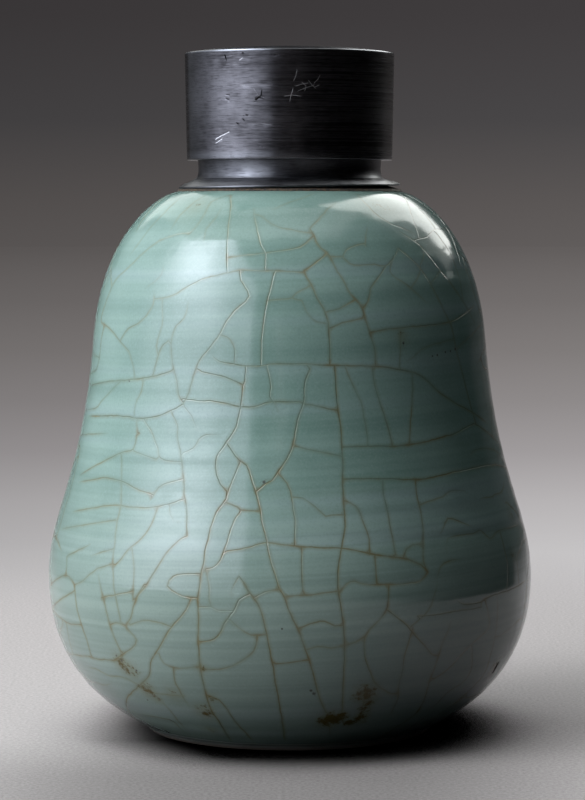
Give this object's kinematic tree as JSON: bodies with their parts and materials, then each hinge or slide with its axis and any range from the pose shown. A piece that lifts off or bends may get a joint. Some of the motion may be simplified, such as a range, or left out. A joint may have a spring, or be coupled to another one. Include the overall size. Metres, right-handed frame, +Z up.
{
  "type": "tea caddy",
  "caption": "Gourd-shaped celadon stoneware tea caddy with a bedded pewter collar, a plug inner lid with a knob and a tall pull-off pewter cap.",
  "frame": {"origin": "centre of the foot ring, on the surface the caddy stands on", "axes": "+Z up along the jar's turning axis, -Y towards the viewer of the picture, +X to the viewer's right"},
  "size_m": [0.1, 0.1, 0.1398],
  "materials": {
    "celadon": "glossy blue-green celadon glaze with tan crackle and iron spots",
    "putty": "matt brown lacquer putty",
    "pewter": "turned pewter with a dark oxidised skin, fine turning lines and worn bright edges"
  },
  "bodies": {
    "jar": {"jar_body": "celadon", "bedding_ring": "putty", "collar_flange": "pewter", "neck_tube": "pewter"},
    "stopper": {"inner_lid": "pewter", "inner_lid_knob": "pewter"},
    "cap": {"cap_wall": "pewter", "cap_disc": "pewter"}
  },
  "joints": [
    {"name": "cap_lift", "type": "slide", "parent": "jar", "child": "cap", "axis": [0, 0, 1], "range_m": [0, 0.08]},
    {"name": "inner_lid_lift", "type": "slide", "parent": "jar", "child": "stopper", "axis": [0, 0, 1], "range_m": [0, 0.036]}
  ],
  "couplings": [
    {"joint": "inner_lid_lift", "follows": "cap_lift", "ratio": 0.45}
  ]
}
